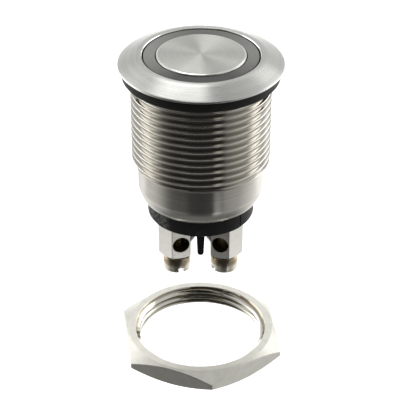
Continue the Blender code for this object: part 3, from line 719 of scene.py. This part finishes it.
def ribGrid(b):
    # The blade's outline in the plane of the posts, carried along the depth:
    # half thickness narrows evenly to the tip, which is a half circle.
    tip = b["ribTip"] / 2
    middle = b["ribEnd"] + tip
    across = [(0.0, b["bottom"] + 1), (b["ribTop"] / 2, b["bottom"] + 1),
              (b["ribTop"] / 2, b["bottom"])]
    across += bow(0.0, middle, tip, 0, -180, 12)
    across += [(-b["ribTop"] / 2, b["bottom"]), (-b["ribTop"] / 2, b["bottom"] + 1),
               (0.0, b["bottom"] + 1)]
    across = np.array(across)
    half = b["ribWidth"] / 2
    inner = half - b["ribSoft"]
    depth = np.array([-half, -half, -inner, inner, half, half])
    shrink = np.array([0.0, b["ribEndShare"], 1.0, 1.0, b["ribEndShare"], 0.0])
    x = across[:, 0][None, :] * shrink[:, None]
    rise = across[:, 1][None, :] - middle
    z = middle + rise * np.where(rise < 0, shrink[:, None], 1.0)
    z = np.where(shrink[:, None] == 0, middle, z)
    y = depth[:, None] * np.ones_like(x)
    return np.stack([x, y, z], -1)


terminalBase = makeBase(base)
terminalBase.data.materials.append(basePlastic)
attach(terminalBase, "housing")
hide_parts("terminal_base")
print("base made")


# Posts and clamp screws

post = {"x": 3.4, "flats": 4.7, "face": 2.3, "rounding": 0.06, "top": -21.44, "bottom": -28.33,
        "turn": 16.2, "shank": 1.25, "shankTop": -14.0, "stemHole": 0.55, "stemEnd": -15.2,
        "holeRadius": 1.2, "holeHeight": -26.04, "holeFlare": 0.12, "bore": 1.3,
        "boreTop": -24.3, "edge": 0.05}
screw = {"head": 1.975, "headTop": -28.83, "headBottom": -31.17, "bevel": 0.3, "crest": 1.25,
         "tip": -24.6, "tipRadius": 0.85, "tipBevel": 0.15, "pitch": 0.45,
         "slotWidth": 0.75, "slotDepth": 0.8,
         "slots": {"left": -71.0, "right": -144.0}}     # degrees
coneSlope = math.tan(math.pi / 6)       # of the turned cones on the hexagons' ends


def postGrid(p, turn):
    # The hexagon's outline at the upper end, then at the height where the turned cone
    # meets it, then the cone's own circle: cone height = bottom + (radius - face) * slope.
    x, y = hexOutline(p["flats"], p["rounding"], turn, 4, 16)
    radius = np.hypot(x, y)
    faceShare = p["face"] / radius
    edgeShare = 1 - p["edge"] / radius
    coneHeight = p["bottom"] + (radius - p["face"]) * coneSlope
    flat = np.ones_like(x)
    rows = [(0 * x, 0 * y, p["top"] * flat),
            (x * edgeShare, y * edgeShare, p["top"] * flat),
            (x, y, (p["top"] - p["edge"]) * flat),
            (x, y, coneHeight),
            (x * faceShare, y * faceShare, p["bottom"] * flat),
            (0 * x, 0 * y, p["bottom"] * flat)]
    return np.array(rows).transpose(0, 2, 1)


def axesOf(facing):
    # Unit vectors along a level direction, to its left and straight up.
    return (np.array([math.cos(facing), math.sin(facing), 0.0]),
            np.array([-math.sin(facing), math.cos(facing), 0.0]), np.array([0.0, 0.0, 1.0]))


def crossHole(p, facing):
    # A tube along the direction it faces, a little wider where it leaves the metal.
    flareStart = 2.3
    flareEnd = flareStart + p["holeFlare"]
    along = np.array([-4, -flareEnd, -flareStart, flareStart, flareEnd, 4])
    width = p["holeRadius"] + p["holeFlare"] * np.array([1, 1, 0, 0, 1, 1])
    angle = np.linspace(0, fullTurn, 65)
    aim, side, up = axesOf(facing)
    tube = (along[:, None, None] * aim
            + width[:, None, None] * (np.cos(angle)[None, :, None] * side
                                      + np.sin(angle)[None, :, None] * up))
    start = np.broadcast_to(along[0] * aim, (1, len(angle), 3))
    end = np.broadcast_to(along[-1] * aim, (1, len(angle), 3))
    return np.concatenate([start, tube, end])


def makePost(p, label, side):
    # The hexagon with its shank joined on, and the hollow stem, the wire's cross hole and
    # the screw's bore cut out of it.
    facing = math.radians(-90 - side * p["turn"])
    grid = moved(postGrid(p, facing + math.pi / 6), side * p["x"])
    thing = surface("terminalPost" + label, grid, crease=25.0)
    middle = (side * p["x"], 0)
    shank = rod(p["shank"], p["shankTop"], p["top"] - 1, 48, middle)
    carve(thing, "shankTool", shank, "UNION")
    carve(thing, "stemTool", rod(p["stemHole"], p["shankTop"] + 1, p["stemEnd"], 32, middle))
    carve(thing, "wireTool", moved(crossHole(p, facing), side * p["x"], p["holeHeight"]))
    bore = rod(p["bore"], p["boreTop"], p["bottom"] - 1, 48, middle)
    carve(thing, "boreTool", bore, crease=25.0)
    return thing


def makeScrew(s, p, label, side):
    # A cheese head and a threaded shank in one turned grid, then the slot.
    angle = np.linspace(0, fullTurn, 97)
    low, high = s["headTop"], s["tip"] - 0.25
    heights = helixRows(angle, low, high, low, s["pitch"])[::-1]
    radius = threadRadius(angle[None, :], heights, s["crest"], low, s["pitch"])
    before = [(0.0, s["tip"]), (s["tipRadius"], s["tip"]),
              (s["tipRadius"] + s["tipBevel"], s["tip"] - s["tipBevel"])]
    after = [(s["head"] - s["bevel"], s["headTop"])]
    after += bend((s["head"] - s["bevel"], s["headTop"]), (s["head"], s["headTop"]),
                  (s["head"], s["headTop"] - s["bevel"]), 4)
    after += bend((s["head"], s["headBottom"] + s["bevel"]), (s["head"], s["headBottom"]),
                  (s["head"] - s["bevel"], s["headBottom"]), 4)
    after += [(0.0, s["headBottom"])]
    grid = joinRows(before, radius, heights, after, angle)
    thing = surface("clampScrew" + label, moved(grid, side * p["x"]), crease=40.0)
    aim, across, up = axesOf(math.radians(s["slots"][label.lower()]))
    half = s["slotWidth"] / 2
    top = s["headBottom"] + s["slotDepth"]
    below = s["headBottom"] - 1
    loop = np.array([(-half, below), (half, below), (half, top), (-half, top), (-half, below)])
    block = loop[:, :1] * across + loop[:, 1:] * up
    pole = np.broadcast_to((top - 0.5) * up, block.shape)
    rows = np.array([pole - 4 * aim, block - 4 * aim, block + 4 * aim, pole + 4 * aim])
    carve(thing, "slotTool", moved(rows, side * p["x"]), crease=40.0)
    return thing


def platedPost(p, side):
    # Plated brass with painted shade inside the wire hole, which is dark and brownish there:
    # the distance from the hole's axis tells its wall from the faces.
    facing = math.radians(-90 - side * p["turn"])

    def make(place):
        outside = satinMetal("plated", rough=(0.1, 0.18), scale=5.0)(place)
        aside = (place["x"] - side * p["x"]) * -math.sin(facing) + place["y"] * math.cos(facing)
        up = place["z"] - p["holeHeight"]
        fromHole = (aside * aside + up * up) ** 0.5
        # painted shade: 1 on the wire hole's wall, 0 on the faces
        inside = fromHole.step(p["holeRadius"] + 0.04, p["holeRadius"] + 0.005)
        outside["Base Color"] = inside.mix(outside["Base Color"], metalTones["holePaintedShade"])
        outside["Roughness"] = outside["Roughness"] + inside * 0.25
        return outside
    return make


def platedScrew(s):
    # The head is plated, with a brownish painted shadow under the post, and the shank, which
    # shows in the wire hole, is painted dark as shade.
    def make(place):
        head = satinMetal("screw", rough=(0.14, 0.24), scale=4.0)(place)
        cloud = noise(place, 1.6, detail=3.0)
        # painted shadow: darker at the top of the head, under the post
        paintedShadow = (place["z"] + cloud * 0.8).step(s["headTop"] - 1.1, s["headTop"] - 0.5)
        head["Base Color"] = (paintedShadow * 0.9 + 0.1).mix(head["Base Color"], metalTones["screwPaintedShadow"])
        shank = place["z"].step(s["headTop"] + 0.2, s["headTop"] + 0.4)
        head["Base Color"] = shank.mix(head["Base Color"], metalTones["holePaintedShade"])
        return head
    return make


for label, side in (("Left", -1), ("Right", 1)):
    terminalPost = makePost(post, label, side)
    finish = newFinish("platedPost" + label, platedPost(post, side), metal)
    terminalPost.data.materials.append(finish)
    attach(terminalPost, "housing")
    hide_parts("terminal_post_" + label.lower())
    clampScrew = makeScrew(screw, post, label, side)
    finish = newFinish("platedScrew" + label, platedScrew(screw), metal)
    clampScrew.data.materials.append(finish)
    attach(clampScrew, label.lower() + "_screw")
    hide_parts("clamp_screw_" + label.lower())
print("posts and screws made")


# Panel nut

nut = {"flats": 22.0, "face": 10.65, "rounding": 0.12, "top": -42.0, "bottom": -45.1,
       "turn": -82.3, "groove": 9.56, "countersink": 9.66, "edge": 0.05}


def makeNut(n, b):
    # The thread's rows up the bore, opened out at both faces, then the upper face, the
    # cone, the flats and the same again below, all along the hexagon's outline.
    x, y = hexOutline(n["flats"], n["rounding"], math.radians(n["turn"]), 4, 26)
    angle = np.unwrap(np.arctan2(y, x))
    outer = np.hypot(x, y)
    fall = (outer - n["face"]) * coneSlope
    heights = helixRows(angle, n["bottom"], n["top"], b["crestHeight"], b["pitch"])
    radius = threadRadius(angle[None, :], heights, n["groove"], b["crestHeight"], b["pitch"])
    fromFace = np.minimum(n["top"] - heights, heights - n["bottom"])
    radius = np.maximum(radius, n["countersink"] - fromFace)
    flat = np.ones_like(angle)
    edge = n["edge"]
    upper = [(n["face"] * flat, n["top"] * flat),
             (outer - edge, n["top"] - fall + edge * coneSlope),
             (outer, n["top"] - fall - edge)]
    lower = [(outer, n["bottom"] + fall + edge),
             (outer - edge, n["bottom"] + fall - edge * coneSlope),
             (n["face"] * flat, n["bottom"] * flat)]
    allRadius = np.vstack([radius] + [row[0] for row in upper + lower] + [radius[:1]])
    allHeight = np.vstack([heights] + [row[1] for row in upper + lower] + [heights[:1]])
    grid = np.stack([allRadius * np.cos(angle), allRadius * np.sin(angle), allHeight], -1)
    thing = surface("panelNut", grid, crease=25.0)
    inBore = faceMiddles(thing)[0] < n["groove"] + 0.02
    setFinishes(thing, (nutSteel, newFinish("nutThread", nutThread(n), metal)), inBore)
    return thing


def nutThread(n):
    # Crests that point to the bore's middle keep the metal's tone, and the grooves are painted
    # darker and brownish as shade.
    def make(place):
        made = turnedMetal("nut", 4.0, 0.0003, (0.08, 0.14), along="z")(place)
        # painted shade: the grooves darker than the crests
        deep = place["radius"].step(n["groove"] - 0.45, n["groove"] - 0.1)
        made["Base Color"] = deep.mix(made["Base Color"], metalTones["nutGroovePaintedShade"])
        return made
    return make


panelNut = makeNut(nut, barrel)
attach(panelNut, "nut")
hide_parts("panel_nut")
print("nut made:", len(panelNut.data.polygons), "faces")


# Inner pieces and lamp pins keep their own meshes and get finishes

innerPieces = [
    (blackRubber, ["button_seal"]),
    (whitePlastic, ["plunger"]),
    (springSteel, ["bridge_clip"]),
    (blackPlastic, ["guide_body"]),
    (boardLaminate, ["led_board"]),
    (lampLens, ["led_1", "led_2", "led_3", "led_4"]),
    (platedBrass, ["led_pin_minus", "led_pin_plus"]),
    (contactBrass, ["bridge_contact"]),
    (contactSilver, ["bridge_tip_left", "bridge_tip_right", "fixed_contact_left",
                     "fixed_contact_right"]),
]
for finish, nodeNames in innerPieces:
    for nodeName in nodeNames:
        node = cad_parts[nodeName]
        node.data.materials.clear()
        node.data.materials.append(finish)
print("inner pieces finished")


# The two coil springs

springs = {
    "returnCoil": {"node": "return_spring", "body": "housing", "radius": 2.55, "wire": 0.2,
                   "bottom": -8.29, "top": -1.41, "turns": 5.5, "joint": "button_press",
                   "anchor": -8.3, "keep": 0.765},
    "contactCoil": {"node": "contact_spring", "body": "button", "radius": 1.1, "wire": 0.12,
                    "bottom": -10.29, "top": -9.11, "turns": 2.5, "joint": "bridge_travel",
                    "anchor": -9.1, "keep": 0.49},
}


def coil(s, sides=12, perTurn=36):
    # A circle of wire carried along a helix: its middle is at radius, turned by the full
    # turns times t, and rises evenly with t; the circle leans over by the helix's slope.
    t = np.linspace(0, 1, int(s["turns"] * perTurn) + 1)[:, None]
    around = np.linspace(0, fullTurn, sides + 1)[None, :]
    angle = fullTurn * s["turns"] * t
    low, high = s["bottom"] + s["wire"], s["top"] - s["wire"]
    lean = math.atan((high - low) / (s["turns"] * fullTurn * s["radius"]))
    reach = s["radius"] + s["wire"] * np.cos(around)
    rise = s["wire"] * np.sin(around)
    shift = -rise * math.sin(lean)
    grid = np.stack([np.cos(angle) * reach - np.sin(angle) * shift,
                     np.sin(angle) * reach + np.cos(angle) * shift,
                     low + (high - low) * t + rise * math.cos(lean)], -1)
    ends = np.broadcast_to(grid[[0, -1], :-1].mean(1, keepdims=True), (2,) + grid.shape[1:])
    return np.concatenate([ends[:1], grid, ends[1:]])


for name, spring in springs.items():
    piece = surface(name, coil(spring))
    piece.data.materials.append(springSteel)
    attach(piece, spring["body"])
    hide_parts(spring["node"])
    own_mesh(piece)
print("springs made")


# Studio

studio = {
    "floorHeight": -80.0,
    "floorSize": 9000.0,
    "floor": {"Base Color": rgb(0.93, 0.93, 0.93), "Roughness": 0.9, "Specular IOR Level": 0.0},
    "airTone": rgb(1.0, 0.995, 0.98),
    # Brightness of the walls below eye level, once round from the back by the left side
    "walls": [(0.0, 0.62), (0.047, 0.75), (0.09, 1.15), (0.142, 1.25), (0.181, 0.84),
              (0.233, 0.73), (0.278, 0.46), (0.317, 0.22), (0.353, 0.085), (0.389, 0.045),
              (0.5, 0.045), (0.585, 0.045), (0.604, 0.10), (0.621, 0.34), (0.65, 0.43),
              (0.69, 0.46), (0.725, 0.55), (0.769, 0.755), (0.822, 1.08), (0.861, 1.5),
              (0.967, 1.3), (1.0, 0.8)],
    # and lower down, where the paper on the table comes in
    "table": [(0.0, 1.3), (0.16, 1.2), (0.256, 0.9), (0.333, 0.3), (0.375, 0.29), (0.41, 0.26),
              (0.45, 0.09), (0.5, 0.07), (0.562, 0.12), (0.578, 1.0), (0.598, 1.0),
              (0.614, 0.42), (0.65, 0.44), (0.708, 0.56), (0.744, 0.92), (0.84, 1.2),
              (1.0, 1.3)],
    # and of the room from 20 degrees below eye level, over 110 degrees, to overhead
    "ceiling": [(0.0, 1.25), (0.10, 1.1), (0.18, 0.86), (0.27, 0.74), (0.34, 0.65), (0.6, 0.62),
                (0.8, 0.55), (1.0, 0.55)],
    "ceilingSpan": (20, 110),
    # Where one gives way to the next, as heights in degrees
    "belowEye": (-12, -24),
    "tableEdge": (-33.6, -35.2),
    "tableFade": (-37, -44),
    "straightDown": (-38, -62),
    "downLevels": (0.22, 0.15),         # straight down, and how much more behind
    "downBehind": (0.1, 0.25),
}

# The brightness of each lamp and the directions that it fills: azimuth in degrees from the
# front to the right, height in degrees, and x, y and z as parts of the direction. Three
# numbers are a stretch's two ends and their softness, two a soft step from dark to light.
lamps = {
    "overhead": (1.9, {"x": (-0.36, 0.045, 0.02), "y": (0.12, 0.2), "height": (50, 120, 3.0)}),
    "rearWindow": (0.5, {"azimuth": (139, 156, 3.0), "height": (27, 45, 3.0)}),
    "rearGlare": (0.8, {"azimuth": (119, 150, 6), "height": (-29, 10, 2)}),
    "backWindow": (0.25, {"x": (-0.3, 0.3, 0.05), "y": (0.1, 0.3), "height": (33, 48, 3.0)}),
    "frontCeiling": (0.55, {"x": (-0.3, 0.3, 0.06), "y": (-0.4, -0.12, 0.04),
                            "z": (0.6, 0.85)}),
    "leftSide": (1.6, {"x": (-0.6, -0.7), "y": (0.02, 0.15), "z": (0.2, 0.66, 0.04)}),
    "rightSide": (1.6, {"x": (0.6, 0.7), "y": (0.02, 0.15), "z": (0.2, 0.66, 0.04)}),
}
paper = {"level": 1.5, "gap": {"azimuth": (-77, 90, 12)}, "where": {"height": (-23, -8, 3.0)},
         "brighter": {"x": (0.7, 1.0)}}
cloth = {"azimuth": (-80, 60, 18), "height": (70, 56)}
canopy = {"level": 0.06, "where": {"x": (-0.42, 0.30, 0.04), "y": (-0.07, 0.17, 0.04),
                                   "z": (0.5, 0.7)}}


def makeFloor(s):
    # One large square far below the object, which mirrors don't show.
    half = s["floorSize"] / 2
    points = np.array([[(-half, -half, 0), (half, -half, 0)], [(-half, half, 0), (half, half, 0)]])
    points = points + np.array([0, 0, s["floorHeight"]])
    mesh = bpy.data.meshes.new("studioFloor")
    mesh.from_pydata((points.reshape(-1, 3) * millimetre).tolist(), [], [(0, 1, 3, 2)])
    mesh.materials.append(newFinish("floorPaper", fixed=s["floor"]))
    thing = addObject("studioFloor", mesh)
    thing.visible_glossy = False


makeFloor(studio)


def makeSurround(s):
    # What the metal reflects, as brightness by direction: walls, table and room all round,
    # dark cloth over the front, lamps and white paper added on, and a dark canopy on top.
    world = bpy.data.worlds.new("studioSurround")
    bpy.context.scene.world = world
    world.use_nodes = True
    tree = world.node_tree
    start = Wire(tree)
    x, y, z = start.node("ShaderNodeTexCoord", out=0).parts()
    azimuth = start.sum("ARCTAN2", x, y * -1.0) * (180 / math.pi)
    height = start.sum("ARCSINE", z) * (180 / math.pi)
    way = {"x": x, "y": y, "z": z, "azimuth": azimuth, "height": height}

    def within(where):
        # 1 inside all of the given stretches and 0 outside any of them.
        share = None
        for key, span in where.items():
            part = way[key].between(*span) if len(span) == 3 else way[key].step(*span)
            share = part if share is None else share * part
        return share

    def ramp(stops, position):
        return start.node("ShaderNodeValToRGB", {"stops": s[stops]}, {0: position}).shade()

    walls = ramp("walls", azimuth / 360 + 0.5)
    table = ramp("table", azimuth / 360 + 0.5)
    below, span = s["ceilingSpan"]
    upper = ramp("ceiling", (height + below) / span)
    low = 1 - (1 - height.step(*s["belowEye"])) * (1 - within(cloth))
    lowest = height.step(*s["tableEdge"]) * (1 - height.step(*s["tableFade"]) * 0.4)
    under = walls * (1 - lowest) + table * lowest
    straightDown = height.step(*s["straightDown"])
    down, behind = s["downLevels"]
    under = under * (1 - straightDown) + straightDown * (down + y.step(*s["downBehind"]) * behind)
    level = under * low + upper * (1 - low)
    for brightness, where in lamps.values():
        level = level + within(where) * brightness
    white = (1 - within(paper["gap"])) * within(paper["where"])
    level = level + white * (paper["level"] + within(paper["brighter"]))
    dark = within(canopy["where"])
    level = level * (1 - dark) + dark * canopy["level"]
    background = tree.nodes["Background"]
    tree.links.new(level.socket, background.inputs["Strength"])
    background.inputs["Color"].default_value = s["airTone"]


makeSurround(studio)
print("surround made")


lights = {
    "keyLight": {"spot": (-150, -120, 260), "size": (260, 260), "power": 1.3},
    "fillLight": {"spot": (190, -60, 180), "size": (240, 240), "power": 0.8},
}


def areaLight(name, light, aim=(0, 0, -20)):
    # A soft square lamp that looks at the middle of the object and shows in no mirror.
    data = bpy.data.lights.new(name, "AREA")
    data.shape = "RECTANGLE"
    data.size, data.size_y = (side * millimetre for side in light["size"])
    data.energy = light["power"]
    thing = addObject(name, data)
    thing.location = Vector(light["spot"]) * millimetre
    look = Vector(aim) - Vector(light["spot"])
    thing.rotation_euler = look.to_track_quat("-Z", "Y").to_euler()
    thing.visible_glossy = False


for name, light in lights.items():
    areaLight(name, light)

camera = {"spot": (0.0, -167.97, 88.60), "aim": (0.0, 0.0, -19.963), "lens": 128.1,
          "sensor": 36.0, "shiftX": -0.0019, "shiftY": 0.00125, "near": 10.0, "far": 10000.0,
          "roll": 0.2}     # degrees


def makeCamera(c):
    # At its spot, turned towards its aim and then rolled about its own axis.
    data = bpy.data.cameras.new("studioCamera")
    data.lens = c["lens"]
    data.sensor_width = c["sensor"]
    data.shift_x = c["shiftX"]
    data.shift_y = c["shiftY"]
    data.clip_start = c["near"] * millimetre
    data.clip_end = c["far"] * millimetre
    thing = addObject("studioCamera", data)
    thing.location = Vector(c["spot"]) * millimetre
    look = (Vector(c["aim"]) - Vector(c["spot"])).to_track_quat("-Z", "Y").to_matrix()
    turn = Matrix.Rotation(math.radians(c["roll"]), 3, "Z")
    thing.rotation_euler = (look @ turn).to_euler()
    bpy.context.scene.camera = thing
    bpy.context.scene.view_settings.view_transform = "Standard"


makeCamera(camera)
print("studio made")
